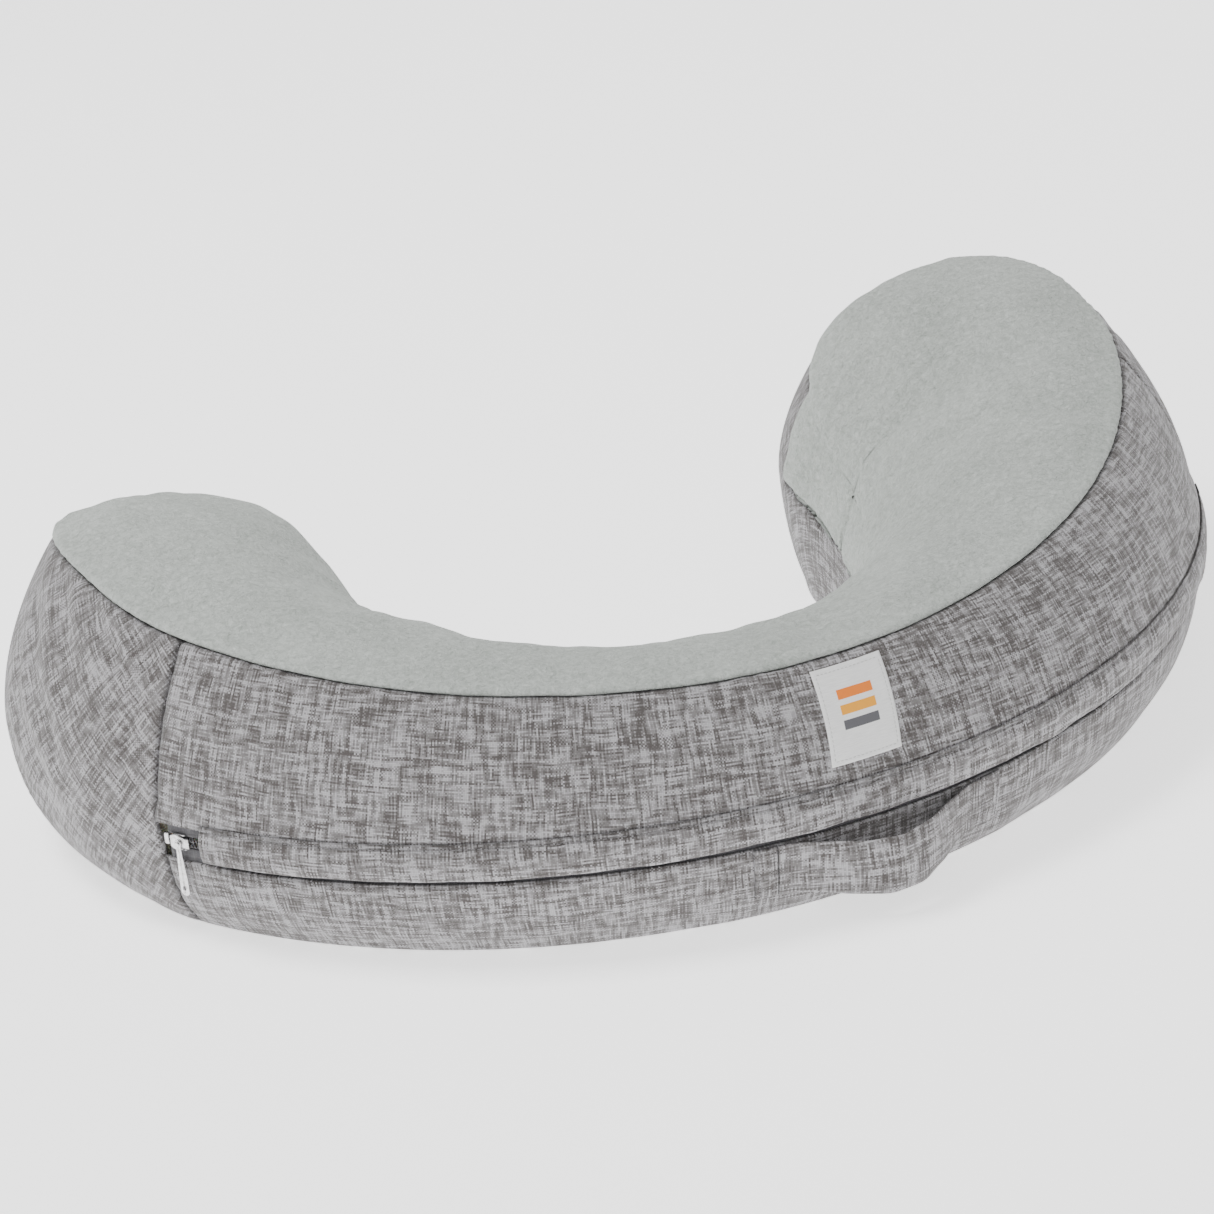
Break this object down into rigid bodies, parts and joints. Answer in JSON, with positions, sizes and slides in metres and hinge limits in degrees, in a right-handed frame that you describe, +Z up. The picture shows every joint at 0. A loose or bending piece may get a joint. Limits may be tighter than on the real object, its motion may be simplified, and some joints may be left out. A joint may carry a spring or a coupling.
{
  "type": "nursing pillow",
  "caption": "Crescent nursing pillow with raised arms, a plush top, a zip-off woven cover over a foam core, and a carrying handle.",
  "frame": {"origin": "middle of the pillow's outline, on the surface that it stands on", "axes": "+X to the right as seen from the closed front, +Y from the closed front towards the open bay, +Z up"},
  "size_m": [0.6544, 0.4202, 0.1685],
  "materials": {
    "foam": "soft open-cell foam, hidden inside the cover",
    "plush": "short brushed pile, light sage grey",
    "weave": "heathered crosshatch weave, matt",
    "zip_tape": "woven zip tape",
    "zip_coil": "nylon coil",
    "zip_metal": "bright nickel plate",
    "thread": "spun polyester thread",
    "label_satin": "white satin ribbon"
  },
  "bodies": {
    "pillow": {"foam_core": "foam", "plush_top": "plush", "outer_panel": "weave", "lower_band": "weave", "left_end_panel": "weave", "right_end_panel": "weave", "inner_panel": "weave", "base_panel": "weave", "zip_flap": "weave", "flap_topstitch": "thread", "zip_tape_upper": "zip_tape", "zip_tape_lower": "zip_tape", "zip_coil_upper": "zip_coil", "zip_coil_lower": "zip_coil", "zip_end_stops": "zip_metal", "handle_tab_left": "weave", "handle_tab_right": "weave", "handle_stitches": "thread", "side_label": "label_satin", "label_stitches": "thread"},
    "zip_slider": {"slider_body": "zip_metal", "slider_pin": "zip_metal"},
    "zip_pull": {"pull_tab": "zip_metal"},
    "carry_handle": {"handle_strap": "weave"}
  },
  "joints": [
    {"name": "slider_travel", "type": "hinge", "parent": "pillow", "child": "zip_slider", "pos_m": [0, 0.14327, 0.0555], "axis": [0, 0, 1], "range_deg": [0, 45]},
    {"name": "pull_swing", "type": "hinge", "parent": "zip_slider", "child": "zip_pull", "pos_m": [-0.29504, -0.02027, 0.0555], "axis": [-0.8746, -0.4848, 0], "range_deg": [-35, 35]},
    {"name": "handle_lift", "type": "hinge", "parent": "pillow", "child": "carry_handle", "pos_m": [-0.00581, -0.18989, 0.045], "axis": [-0.9998, 0.0175, 0], "range_deg": [0, 45]}
  ]
}
